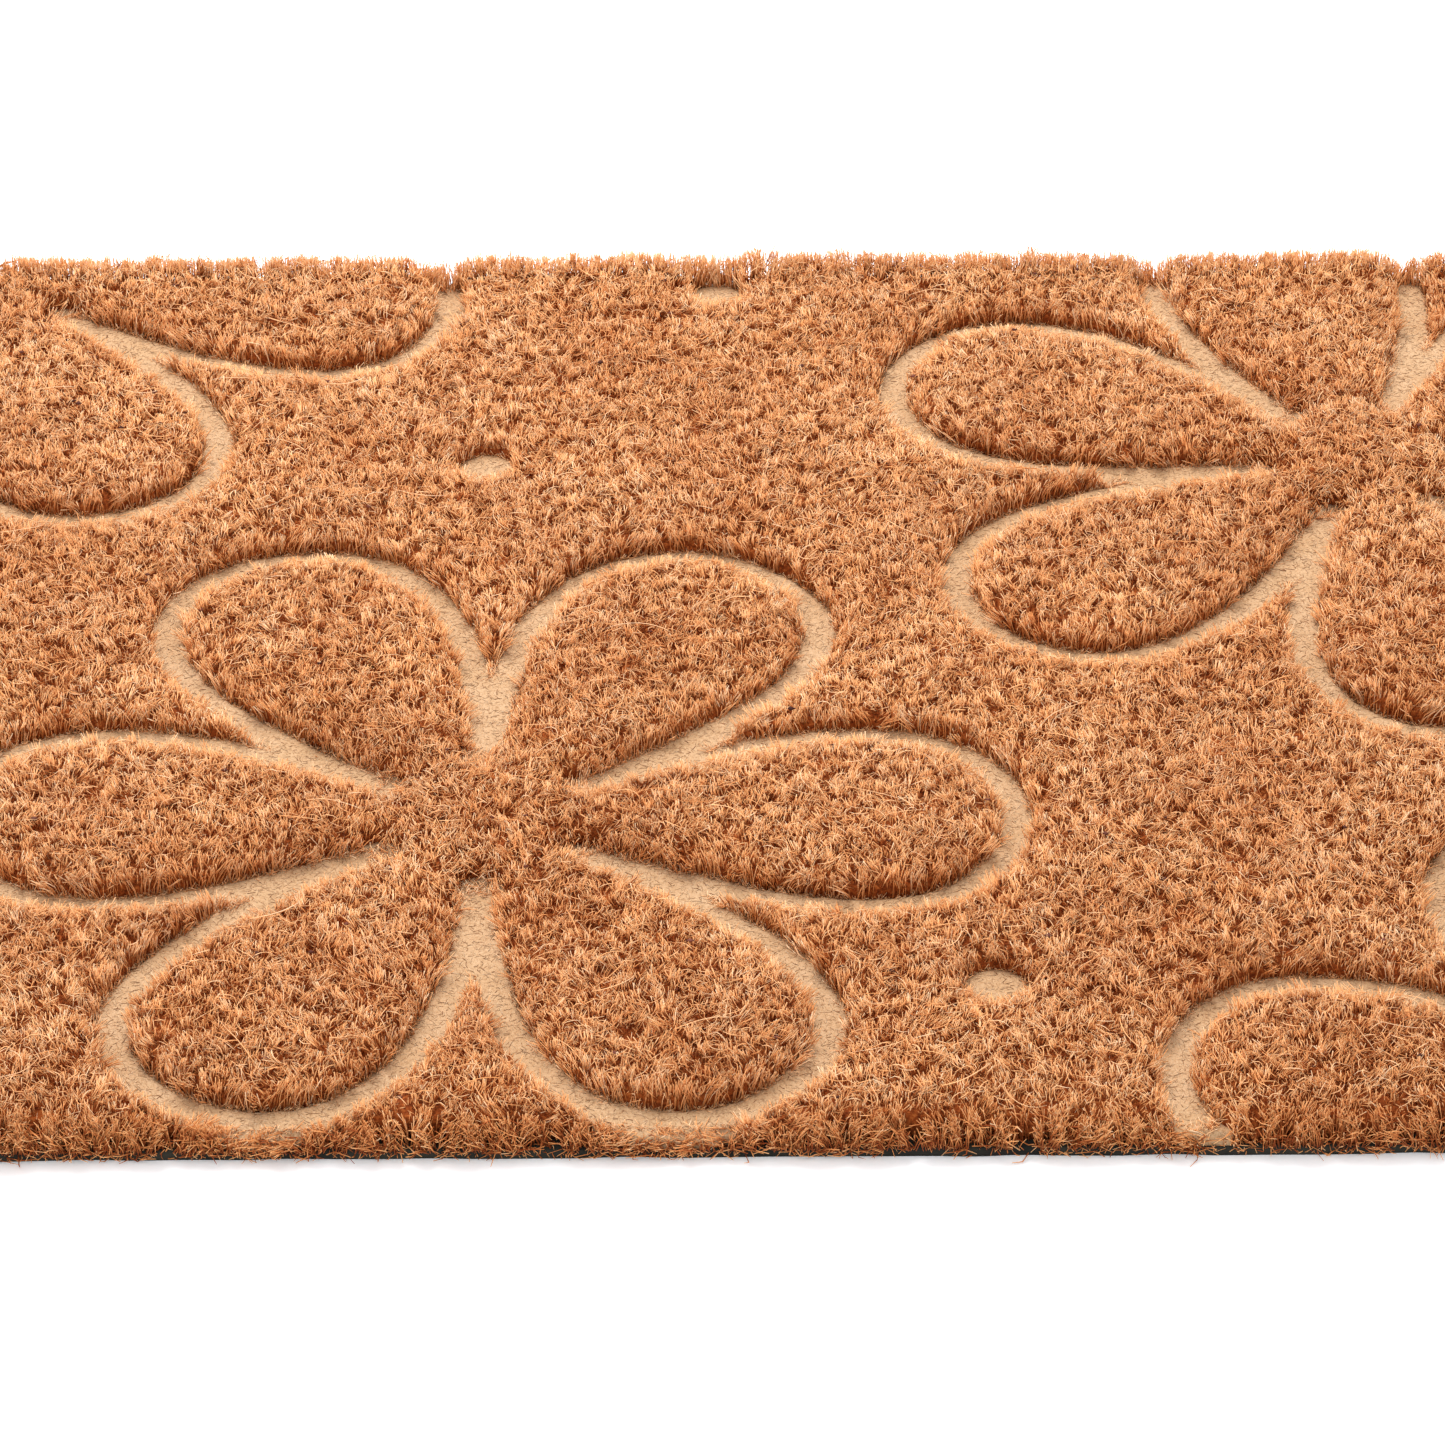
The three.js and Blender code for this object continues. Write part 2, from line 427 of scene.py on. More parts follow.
def pvc_material():
    """Dark green-black soft PVC, dull and a little cloudy, with a fine pebble."""
    material, tree, shader = new_material("pvc", 0.8, 0.2)
    pebble = texture(tree, "ShaderNodeTexVoronoi", Scale=450)
    cloud = texture(tree, "ShaderNodeTexNoise", Scale=55, Detail=6)
    stops = [(0.35, srgb(26, 25, 20)), (0.65, srgb(46, 44, 36))]
    colour = ramp(tree, cloud.outputs["Fac"], stops)
    tree.links.new(colour, shader.inputs["Base Color"])
    bump(tree, shader, pebble.outputs["Distance"], 0.3 * MM, 0.6)
    return material


PILE_STOPS = [
    (0.0, srgb(150, 72, 28)),
    (0.3, srgb(216, 142, 82)),
    (0.6, srgb(238, 176, 118)),
    (0.85, srgb(242, 194, 146)),
    (1.0, srgb(244, 210, 172)),
]
FELT_STOPS = [
    (0.0, srgb(118, 70, 42)),
    (0.25, srgb(167, 126, 89)),
    (0.7, srgb(190, 159, 126)),
    (1.0, srgb(210, 186, 158)),
]
FLECK_STOPS = [(0.0, srgb(62, 30, 24)), (1.0, srgb(122, 70, 56))]

pile_fibre = fibre_material("coir_fibre", PILE_STOPS)
felt_fibre = fibre_material("felted_fibre", FELT_STOPS)
fleck_husk = fibre_material("husk", FLECK_STOPS)
depth_painted_shade = depth_painted_shade_material()
felt = felt_material()
pvc = pvc_material()


# ---- solid bodies on a grid ----

def plate(name, inside, edges, level, top, bottom, material):
    """A closed body under the part of the plan where `inside` is true.

    `edges` are the grid lines in x and in y, `inside` is asked at the middle of each cell, and the
    border is drawn in to where WALL equals `level`, so that it runs smoothly and not in steps.
    `top` and `bottom` give the heights.
    """
    lines_x, lines_y = edges
    middle_x, middle_y = np.meshgrid((lines_x[1:] + lines_x[:-1]) / 2, (lines_y[1:] + lines_y[:-1]) / 2)
    cells = np.pad(inside(middle_x, middle_y), 1)
    here = cells[1:-1, 1:-1]
    x, y = np.meshgrid(lines_x, lines_y)
    around = np.stack([cells[:-1, :-1], cells[:-1, 1:], cells[1:, :-1], cells[1:, 1:]])
    used = around.any(axis=0)
    border = used & ~around.all(axis=0)
    border[:, [0, -1]] = False
    border[[0, -1], :] = False
    slope_x, slope_y = read(WALL_SLOPE_X, x, y), read(WALL_SLOPE_Y, x, y)
    cell = lines_x[1] - lines_x[0]
    move = np.clip(level - read(WALL, x, y), -cell, cell) * border
    x, y = x + slope_x * move, y + slope_y * move
    index = np.cumsum(used.ravel()).reshape(used.shape) - 1
    count = int(used.sum())
    x, y = x[used], y[used]
    points = np.concatenate([np.stack([x, y, top(x, y)], 1), np.stack([x, y, bottom(x, y)], 1)])
    corner = [index[:-1, :-1], index[:-1, 1:], index[1:, 1:], index[1:, :-1]]
    upper = np.stack([c[here] for c in corner], 1)
    faces = [upper, upper[:, ::-1] + count]
    neighbours = [cells[:-2, 1:-1], cells[1:-1, 2:], cells[2:, 1:-1], cells[1:-1, :-2]]
    for side, neighbour in enumerate(neighbours):
        open_side = here & ~neighbour
        a, b = corner[side][open_side], corner[(side + 1) % 4][open_side]
        faces.append(np.stack([a, a + count, b + count, b], 1))
    return mesh_piece(name, points, np.concatenate(faces), material)


def grid_lines(cell, inset):
    """Grid lines in x and in y over the mat, less a margin all round."""
    across = round((X_HIGH - X_LOW - 2 * inset) / cell) + 1
    along = round((Y_HIGH - Y_LOW - 2 * inset) / cell) + 1
    return (
        np.linspace(X_LOW + inset, X_HIGH - inset, across),
        np.linspace(Y_LOW + inset, Y_HIGH - inset, along),
    )


def clipped(lines, name, margin):
    """Those grid lines that pass over a node."""
    low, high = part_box(name)
    return tuple(
        line[(line > low[axis] - margin) & (line < high[axis] + margin)]
        for axis, line in enumerate(lines)
    )


def on_backing(x, y):
    """The height of the backing's upper face, at every point."""
    return np.full_like(x, BACKING_TOP)


def pile_bodies():
    """One rough body under the fibres of each zone of pile, painted dark as the shade in the brush's
    depth.
    """
    lines = grid_lines(BODY_CELL, 1.2 * MM)

    def top(x, y):
        rough = noise(x, y, 3.4 * MM, 5) + 0.7 * noise(x, y, 6.1 * MM, 6)
        return pile_height(x, y) - BODY_DEPTH + 0.7 * MM * rough

    for index, name in enumerate(PILE_NODES):
        inset = min(BODY_INSET, WALL[PILE_OWNER == index].max() / 4)

        def inside(x, y, index=index, inset=inset):
            deep = (read(WALL, x, y) > inset) & (from_edge(x, y)[0] > 2 * inset)
            return deep & (read_owner(PILE_OWNER, x, y) == index)

        edges = clipped(lines, name, 2 * BODY_CELL)
        body = plate(name + "_body", inside, edges, inset, top, on_backing, depth_painted_shade)
        finish_piece(body, "coir", name)


def pressed_bodies():
    """The felted bands and dots."""
    lines = grid_lines(BAND_CELL, 1 * MM)

    for index, name in enumerate(PRESSED_NODES):
        def inside(x, y, index=index):
            return (read(WALL, x, y) < BAND_REACH) & (read_owner(PRESSED_OWNER, x, y) == index)

        edges = clipped(lines, name, 2 * BAND_CELL)
        body = plate(name + "_felt", inside, edges, BAND_REACH, felt_height, on_backing, felt)
        finish_piece(body, "felted_coir", name)


def backing():
    """The PVC sheet: cut by hand, so its edge wanders a little, and it doesn't lie quite flat."""
    lines = grid_lines(BACKING_CELL, 1 * MM)

    def everywhere(x, y):
        return np.full(x.shape, True)

    def bottom(x, y):
        return 0.12 * MM + 0.08 * MM * noise(x, y, 15 * MM, 10)

    sheet = plate("pvc_backing_sheet", everywhere, lines, 0, on_backing, bottom, pvc)
    co = np.empty(len(sheet.data.vertices) * 3, np.float32)
    sheet.data.vertices.foreach_get("co", co)
    co = co.reshape(-1, 3)
    edge, out = from_edge(co[:, 0], co[:, 1])
    wander = 0.5 * MM * noise(co[:, 0], co[:, 1], 13 * MM, 9) * (edge < 2 * MM)
    co[:, :2] += out * wander[:, None]
    sheet.data.vertices.foreach_set("co", co.ravel())
    finish_piece(sheet, "pvc", "pvc_backing")


# ---- fibres ----

def strands(points, radius, shade, blunt=0.6, foot_shade=-0.2):
    """Closed three-sided strands along (count, steps, 3) points.

    `blunt` is the tip's share of the width, `foot_shade` how much the foot differs in shade: painted
    shade at the foot, rising to a little painted light at the tip.
    """
    count, steps, _ = points.shape
    along = points[:, -1] - points[:, 0]
    along /= np.linalg.norm(along, axis=1, keepdims=True)
    aside = np.cross(along, rng.normal(size=(count, 3)))
    aside /= np.linalg.norm(aside, axis=1, keepdims=True)
    over = np.cross(along, aside)
    rings = []
    for step in range(steps):
        width = radius * (1 - (1 - blunt) * (step / (steps - 1)) ** 2)
        for corner in range(3):
            turn = 2 * math.pi * corner / 3
            outward = math.cos(turn) * aside + math.sin(turn) * over
            rings.append(points[:, step] + outward * width[:, None])
    vertices = np.stack(rings, 1)
    last = 3 * (steps - 1)
    faces = [(0, 2, 1), (last, last + 1, last + 2)]
    for step in range(steps - 1):
        for corner in range(3):
            a, b = 3 * step + corner, 3 * step + (corner + 1) % 3
            faces += [(a, b, b + 3), (a, b + 3, a + 3)]
    triangles = np.array(faces)[None] + np.arange(count)[:, None, None] * (3 * steps)
    # Painted shade: darker at the foot, deep in the brush, and a little paler at the tip as painted
    # light.
    rise = np.linspace(np.broadcast_to(foot_shade, count), np.full(count, 0.1), steps).T
    shades = np.clip(shade[:, None] + np.repeat(rise, 3, axis=1), 0, 1)
    return vertices.reshape(-1, 3), triangles.reshape(-1, 3), shades.ravel()


def slivers(root, tip, radius, shade):
    """The same with four triangles to each: a wedge whose two ends are edges that cross."""
    along = tip - root
    along /= np.linalg.norm(along, axis=1, keepdims=True)
    aside = np.cross(along, rng.normal(size=root.shape))
    aside /= np.linalg.norm(aside, axis=1, keepdims=True)
    over = np.cross(along, aside) * radius[:, None]
    aside *= radius[:, None]
    vertices = np.stack([root + aside, root - aside, tip + 0.8 * over, tip - 0.8 * over], 1)
    faces = np.array([(0, 1, 2), (0, 3, 1), (0, 2, 3), (1, 3, 2)])
    triangles = faces[None] + np.arange(len(root))[:, None, None] * 4
    # Painted shade at the root, deep in the brush, and painted light at the tip.
    shades = np.clip(shade[:, None] + np.array([-0.3, -0.3, 0.12, 0.12])[None], 0, 1)
    return vertices.reshape(-1, 3), triangles.reshape(-1, 3), shades.ravel()


def joined(parts):
    """Several sets of strands as one."""
    points, faces, shades, first = [], [], [], 0
    for vertices, triangles, shade in parts:
        points.append(vertices)
        faces.append(triangles + first)
        shades.append(shade)
        first += len(vertices)
    return np.concatenate(points), np.concatenate(faces), np.concatenate(shades)


def scattered(spacing):
    """One random point in each square of a grid over the mat."""
    across = int((X_HIGH - X_LOW) / spacing)
    along = int((Y_HIGH - Y_LOW) / spacing)
    j, i = np.meshgrid(np.arange(across), np.arange(along))
    x = X_LOW + (j.ravel() + rng.random(j.size)) * spacing
    y = Y_LOW + (i.ravel() + rng.random(j.size)) * spacing
    return x, y


def nearest_tuft(x, y, pitch):
    """The nearest of the scattered tuft centres: its lattice point, place and distance."""
    column, row = np.floor(x / pitch), np.floor(y / pitch)
    best = np.full(x.shape, np.inf)
    found = np.zeros((4, *x.shape))
    for dj in (-1, 0, 1):
        for di in (-1, 0, 1):
            j, i = column + dj, row + di
            cx = (j + 0.05 + 0.9 * lattice(j, i, 21)) * pitch
            cy = (i + 0.05 + 0.9 * lattice(j, i, 22)) * pitch
            away = np.hypot(x - cx, y - cy)
            closer = away < best
            best = np.where(closer, away, best)
            found = np.where(closer, np.stack([j, i, cx, cy]), found)
    return found, best


def bell(i, j, seed):
    """A number for each lattice point, spread like a normal one."""
    return (sum(lattice(i, j, seed + 0.37 * k) for k in range(4)) - 2) * math.sqrt(3)


def random_turns(count):
    """Plan vectors one long, in every direction."""
    angle = rng.random(count) * 2 * math.pi
    return np.stack([np.cos(angle), np.sin(angle)], 1)


def patchy_shade(x, y, count):
    """Shades for fibres: each its own, with tufts and patches that run lighter or darker."""
    (j, i, _, _), _ = nearest_tuft(x, y, TUFT_PITCH)
    base = 0.56 + 0.07 * noise(x, y, 22 * MM, 31) + 0.09 * bell(j, i, 41)
    base = base + rng.normal(size=count) * 0.11
    odd = rng.random(count)
    return np.where(odd < 0.05, base - 0.35, np.where(odd > 0.9, base + 0.3, base))


def tuft_lean(x, y):
    """How far the tips of each point's tuft lean, as a plan vector, and how much taller it is."""
    (j, i, cx, cy), away = nearest_tuft(x, y, TUFT_PITCH)
    lean = np.stack([bell(j, i, 51), bell(j, i, 52)], 1) * 1.5 * MM
    gather = lattice(j, i, 53) * 1.1 - 0.2
    lean += np.stack([cx - x, cy - y], 1) * gather[:, None]
    lean *= (1 - 0.7 * at_far_edge(y))[:, None]
    lift = 0.45 * MM * bell(j, i, 54) - 0.3 * away
    return lean, lift


def band_closing(x, y):
    """How far the pile closes in over a band: near a flower's middle, and at the mat's cut edge."""
    middle = np.min([np.hypot(x - a * MM, y - b * MM) for a, b in FLOWERS], axis=0)
    taper = TAPER_BY * np.clip((TAPER_FROM - middle) / (TAPER_FROM - BAND_END), 0, 1)
    end = BAND_END_CLOSING * np.clip((BAND_END - middle) / BAND_END_SOFTNESS, 0, 1)
    rim = np.exp(-((from_edge(x, y)[0] / UNPRESSED_RIM) ** 2))
    return taper + end + UNPRESSED_CLOSING * rim


def wall_distance(x, y):
    """Distance into the pile from a groove's ragged wall."""
    ragged = 0.45 * noise(x, y, 3.8 * MM, 61) + 0.4 * noise(x, y, 9 * MM, 62) - 0.4
    return read(WALL, x, y) + (ragged - 0.8 * near_dot(x, y)) * MM + band_closing(x, y)


def clump_lean(x, y):
    """How far tips along the near edge draw together into clumps, as a plan vector."""
    column = np.floor(x / CLUMP_PITCH)
    middle = (column + 0.25 + 0.5 * lattice(column, 0, 81)) * CLUMP_PITCH
    strength = CLUMP_PULL * np.exp(-(((y - Y_LOW) / CLUMP_REACH) ** 2))
    return np.stack([(middle - x) * strength, np.zeros_like(x)], 1)


def near_front(y):
    """From 1 at the near cut edge down to 0 within a few mm."""
    return np.exp(-(((y - Y_LOW) / FRONT_REACH) ** 2))


def in_hollow(x, y):
    """Where fibres are missing: in some of the gaps between tufts along the near edge."""
    front = near_front(y)
    deep_enough = 0.95 - 0.8 * front
    return (pits(x, y) > deep_enough) & (rng.random(len(x)) < 0.92 * front)


def pile_fibres():
    """The brush's cut tips: root and tip, radius and shade of each."""
    x, y = scattered(FIBRE_SPACING)
    wall = wall_distance(x, y)
    keep = (wall > 0) & ~in_hollow(x, y)
    x, y, wall = x[keep], y[keep], wall[keep]
    count = len(x)
    edge, out = from_edge(x, y)
    lean, lift = tuft_lean(x, y)
    tilt = np.abs(rng.normal(0, 0.52, count)).clip(0, 1.35)     # from upright, in radians
    length = rng.uniform(3, 5, count) * MM
    lean += random_turns(count) * (length * np.sin(tilt))[:, None]

    # Beside a band the tips keep more upright and lean over it or back; at the cut edge they splay out.
    towards_band = -np.stack([read(WALL_SLOPE_X, x, y), read(WALL_SLOPE_Y, x, y)], 1)
    near_wall, near_edge = np.exp(-wall / (3 * MM)), np.exp(-edge / (4 * MM))
    lean *= 1 - 0.4 * near_wall[:, None]
    lean += towards_band * (near_wall * rng.normal(0.1, 0.7, count) * MM)[:, None]
    droop = edge_droop(x, y)
    lean += out * (near_edge * rng.uniform(0, 0.9, count) * droop)[:, None] + clump_lean(x, y)

    # The tips end at the pile's height, less in the pits, and less where the edge droops.
    rise = length * np.cos(tilt)
    hollow = PIT_DEPTH * pits(x, y) * (1 - 0.6 * near_edge) * (1 - at_far_edge(y))
    hollow += 1.6 * droop * pits(x, y)
    tip_z = pile_height(x, y) + 0.9 * MM + lift - hollow
    tip_z -= np.abs(rng.normal(size=count)) * 0.7 * MM + 0.25 * (length - rise)
    tip_z -= rng.random(count) * droop * 1.2
    root_z = np.maximum(tip_z - rise, BACKING_TOP + 0.2 * MM)
    root = np.stack([x, y, root_z], 1)
    tip = np.stack([x + lean[:, 0], y + lean[:, 1], np.maximum(tip_z, root_z + 0.5 * MM)], 1)
    radius = FIBRE_RADIUS * rng.uniform(0.65, 1.35, count)
    # Painted shade: fibres in the gaps between tufts and near the cut edge are darker.
    shade = patchy_shade(x, y, count) - 0.12 * pits(x, y) - 0.1 * near_edge
    shade += 0.25 * (1 - standing(x, y))
    return np.stack([root, tip], 1), radius, shade


def standing_strands(x, y, foot, away, spread, tip_z):
    """Long bent strands from `foot` up to `tip_z`, leaning along the plan direction `away`."""
    count = len(x)
    along = away[:, ::-1] * np.array([1, -1])
    lean, _ = tuft_lean(x, y)
    lean = 1.3 * lean + away * (rng.normal(-0.2, 0.7, count) * MM + spread)[:, None]
    lean += along * (rng.normal(0, 1.2, count) * MM)[:, None]
    lean += clump_lean(x, y)
    lean[:, 1] -= 0.3 * MM
    root = np.stack([x, y, foot], 1)
    tip = np.stack([x + lean[:, 0], y + lean[:, 1], np.maximum(tip_z, foot + 1 * MM)], 1)
    middle = root + (tip - root) * np.array([0.35, 0.35, 0.55])
    middle[:, :2] += away * (rng.normal(0.15, 0.35, count) * MM)[:, None]
    radius = FIBRE_RADIUS * rng.uniform(0.7, 1.3, count)
    return np.stack([root, middle, tip], 1), radius, patchy_shade(x, y, count) - 0.03


# The next three give the points, radius, shade and painted foot shade of bent strands.

def wall_fibres():
    """Strands that face the grooves, from the felt at their foot to the pile's tips."""
    x, y = scattered(0.75 * MM)
    wall = wall_distance(x, y)
    keep = (wall > 0.1 * MM) & (wall < WALL_ZONE)
    x, y = x[keep], y[keep]
    count = len(x)
    away = -np.stack([read(WALL_SLOPE_X, x, y), read(WALL_SLOPE_Y, x, y)], 1)
    foot = PRESSED_TOP - rng.uniform(0.2, 2.5, count) * MM
    _, lift = tuft_lean(x, y)
    tip_z = pile_height(x, y) + 1.5 * lift + (0.8 - np.abs(rng.normal(size=count)) * 1.3) * MM
    # Their feet carry painted shade at the groove's foot; some instead get a paler, felt-like tone.
    return *standing_strands(x, y, foot, away, 0, tip_z), rng.uniform(-0.35, 0.2, count)


def rim_fibres():
    """Strands that stand on the backing all along the cut edge, splayed outward where it droops."""
    x, y = scattered(0.62 * MM)
    more_x, more_y = scattered(0.6 * MM)
    far = Y_HIGH - more_y < FAR_RIM_ZONE
    x, y = np.append(x, more_x[far]), np.append(y, more_y[far])
    edge, out = from_edge(x, y)
    keep = (edge < RIM_ZONE) & ~in_hollow(x, y)
    x, y, edge, out = x[keep], y[keep], edge[keep], out[keep]
    count = len(x)
    droop = edge_droop(x, y)
    foot = BACKING_TOP - rng.uniform(0, 0.5, count) * MM
    _, lift = tuft_lean(x, y)
    scatter = 1.3 - 0.7 * at_far_edge(y)
    lift *= 1 - 0.6 * at_far_edge(y)
    tip_z = pile_height(x, y) + lift + (0.7 - np.abs(rng.normal(size=count)) * scatter) * MM
    tip_z -= 1.7 * droop * pits(x, y) + rng.random(count) * droop * 0.8
    spread = droop * np.exp(-edge / (3 * MM)) * rng.uniform(0, 0.9, count)
    lines, radius, shade = standing_strands(x, y, foot, out, spread, tip_z)
    # Painted shade: strands near the near edge, and their feet most, are darker.
    return lines, radius, shade - 0.12 * near_front(y), -0.42 - 0.3 * near_front(y)


def edge_fibres():
    """The frayed cut edge: fibres that stick out and hang over the backing, every which way."""
    width, depth = X_HIGH - X_LOW, Y_HIGH - Y_LOW
    count = int(2 * (width + depth) / EDGE_FIBRE_SPACING)
    place = rng.random(count) * 2 * (width + depth)
    inset = rng.uniform(0, 3.5, count) * MM
    side = np.searchsorted(np.cumsum([width, depth, width]), place)   # near, right, far, left
    run = place - np.array([0, width, width + depth, 2 * width + depth])[side]
    x = np.choose(side, [X_LOW + run, X_HIGH - inset, X_HIGH - run, X_LOW + inset])
    y = np.choose(side, [Y_LOW + inset, Y_LOW + run, Y_HIGH - inset, Y_HIGH - run])
    out = np.array([[0, -1], [1, 0], [0, 1], [-1, 0]])[side]
    sideways = out[:, ::-1] * np.array([1, -1])
    kept = ~in_hollow(x, y)
    x, y, side, inset, out, sideways = (v[kept] for v in (x, y, side, inset, out, sideways))
    count = len(x)
    pressed = read(WALL, x, y) < 0.8 * MM
    ceiling = np.where(pressed, PRESSED_TOP + 0.3 * MM, pile_height(x, y) - 1 * MM)
    root_z = 1.8 * MM + rng.random(count) ** 1.6 * (ceiling - 2.6 * MM)
    tip_z = root_z + rng.normal(-0.3, 1.7, count) * MM
    tip_z = np.clip(tip_z, rng.uniform(0.3, 1.8, count) * MM, ceiling)
    fray = np.array(EDGE_FRAY)[side]
    reach = inset * rng.uniform(0.3, 1.1, count) + rng.gamma(1.3, 0.6, count) * MM * fray
    lean = out * reach[:, None] + sideways * (rng.normal(0, 3.2, count) * MM)[:, None]
    root = np.stack([x, y, root_z], 1)
    tip = np.stack([x + lean[:, 0], y + lean[:, 1], tip_z], 1)
    middle = (root + tip) / 2 + rng.normal(size=(count, 3)) * np.array([0.5, 0.5, 0.7]) * MM
    middle[:, 2] = np.maximum(middle[:, 2], 0.6 * MM)
    radius = FIBRE_RADIUS * rng.uniform(0.7, 1.4, count)
    # Painted shade near the near edge and at the feet; besides, a share of the fibres is darker at
    # random.
    shade = patchy_shade(x, y, count) - 0.25 * (rng.random(count) < 0.4) - 0.08 * near_front(y)
    return np.stack([root, middle, tip], 1), radius, shade, -0.42 - 0.2 * near_front(y)


def grow_pile():
    """Shares all standing fibres out among pieces, zone by zone."""
    short, short_radius, short_shade = pile_fibres()
    groups = zip(wall_fibres(), rim_fibres(), edge_fibres())
    bent, bent_radius, bent_shade, bent_foot = (np.concatenate(group) for group in groups)
    places = np.concatenate([short[:, 0, :2], bent[:, 0, :2]])
    owner = read_owner(PILE_OWNER, places[:, 0], places[:, 1])
    is_bent = np.arange(len(places)) >= len(short)
    for index, name in enumerate(PILE_NODES):
        mine = np.flatnonzero(owner == index)
        mine = mine[np.argsort(places[mine, 0])]
        triangles = np.where(is_bent[mine], BENT_TRIANGLES, SLIVER_TRIANGLES)
        share = np.cumsum(triangles) // PIECE_TRIANGLES
        for number in range(int(share[-1]) + 1):
            chosen = mine[share == number]
            a, b = chosen[~is_bent[chosen]], chosen[is_bent[chosen]] - len(short)
            made = joined([
                slivers(short[a, 0], short[a, 1], short_radius[a], short_shade[a]),
                strands(bent[b], bent_radius[b], bent_shade[b], foot_shade=bent_foot[b]),
            ])
            piece = mesh_piece(f"{name}_fibres_{number + 1:02d}", *made[:2], pile_fibre, made[2])
            finish_piece(piece, "coir")


def curled(x, y, steps, stride, curl):
    """Plan paths of strands that set out from each point in any direction and turn as they go."""
    heading = rng.random(len(x)) * 2 * math.pi
    paths = np.empty((len(x), steps, 2))
    for step in range(steps):
        paths[:, step, 0], paths[:, step, 1] = x, y
        x, y = x + np.cos(heading) * stride, y + np.sin(heading) * stride
        heading = heading + curl
    return paths


def fringe():
    """Pale fibres where pile and felt meet: half pressed, they stick up out of the felt's border."""
    x, y = scattered(0.64 * MM)
    wall = wall_distance(x, y)
    keep = (wall > FRINGE_LOW) & (wall < FRINGE_HIGH) & (read(WALL, x, y) < WALL_ZONE)
    x, y, wall = x[keep], y[keep], wall[keep]
    count = len(x)
    into_pile = np.stack([read(WALL_SLOPE_X, x, y), read(WALL_SLOPE_Y, x, y)], 1)
    depth = np.clip(0.5 + wall / (2 * MM), 0, 1)
    length = rng.uniform(1.2, 3.6, count) * MM
    climb = np.clip(rng.normal(0.25 + 0.55 * depth, 0.25), 0.02, 1.2)
    lean = random_turns(count) + into_pile * 0.7
    lean *= (length * np.cos(climb) / np.linalg.norm(lean, axis=1))[:, None]
    root = np.stack([x, y, felt_height(x, y) - 0.2 * MM], 1)
    tip = np.stack([x + lean[:, 0], y + lean[:, 1], root[:, 2] + length * np.sin(climb)], 1)
    shade = np.clip(rng.normal(0.85, 0.15, count), 0.4, 1)
    radius = rng.uniform(0.1, 0.17, count) * MM
    for number, half in enumerate((x < 0, x >= 0), 1):
        made = slivers(root[half], tip[half], radius[half], shade[half])
        piece = mesh_piece(f"felt_fringe_{number}", *made[:2], pile_fibre, made[2])
        finish_piece(piece, "felted_coir")


def felt_fibres():
    """Fibres pressed flat on the bands and dots, most of them pale and a few dark."""
    x, y = scattered(1.2 * MM)
    keep = read(WALL, x, y) < 0.3 * MM
    x, y = x[keep], y[keep]
    count = len(x)
    paths = curled(x, y, 3, rng.uniform(0.4, 1.4, count) * MM, rng.normal(0, 0.4, count))
    inside = (read(WALL, paths[..., 0], paths[..., 1]) < 0.5 * MM).all(axis=1)
    paths = paths[inside]
    count = len(paths)
    over = rng.uniform(-0.05, 0.09, count)[:, None] + rng.normal(0, 0.04, (count, 3))
    height = felt_height(paths[..., 0], paths[..., 1]) + over * MM
    lines = np.concatenate([paths, height[..., None]], 2)
    radius = rng.uniform(0.06, 0.13, count) * MM
    shade = np.clip(rng.normal(0.6, 0.16, count), 0.1, 1)
    shade = np.where(rng.random(count) < 0.1, 0.1, shade)
    owner = read_owner(PRESSED_OWNER, lines[:, 1, 0], lines[:, 1, 1])
    for index, name in enumerate(PRESSED_NODES):
        mine = owner == index
        made = strands(lines[mine], radius[mine], shade[mine])
        piece = mesh_piece(name + "_fibres", *made[:2], felt_fibre, made[2])
        finish_piece(piece, "felted_coir")


def loose_fibres():
    """Fibres that lie across the pile's tips: many short ones, and some long, pale, curling ones."""
    short = (12_000, 4, 2.0, 0.4, 0.9)     # how many, points, longest stride in mm, curl and arch
    long = (1500, 9, 2.6, 0.36, 1.6)
    for number, (count, steps, stride, curl, lift) in enumerate((short, short, long), 1):
        x = rng.uniform(X_LOW + 5 * MM, X_HIGH - 5 * MM, count)
        y = rng.uniform(Y_LOW + 5 * MM, Y_HIGH - 5 * MM, count)
        strides = rng.uniform(0.5, 1, count) * stride * MM
        paths = curled(x, y, steps, strides, rng.normal(0, curl, count))
        deep = read(WALL, paths[..., 0], paths[..., 1]) > 0.8 * MM
        clear = from_edge(paths[..., 0], paths[..., 1])[0] > 2 * MM
        paths = paths[(deep & clear).all(axis=1)]
        count = len(paths)
        arch = np.sin(np.linspace(0.1, 0.9, steps) * math.pi)
        rise = rng.uniform(-0.8, 0.3, count)[:, None] + arch * rng.uniform(0, lift, count)[:, None]
        height = pile_height(paths[..., 0], paths[..., 1]) + rise * MM
        lines = np.concatenate([paths, height[..., None]], 2)
        radius = FIBRE_RADIUS * rng.uniform(0.6, 1.1, count)
        made = strands(lines, radius, rng.uniform(0.45, 1, count), blunt=0.4)
        piece = mesh_piece(f"loose_fibres_{number}", *made[:2], pile_fibre, made[2])
        finish_piece(piece, "coir")


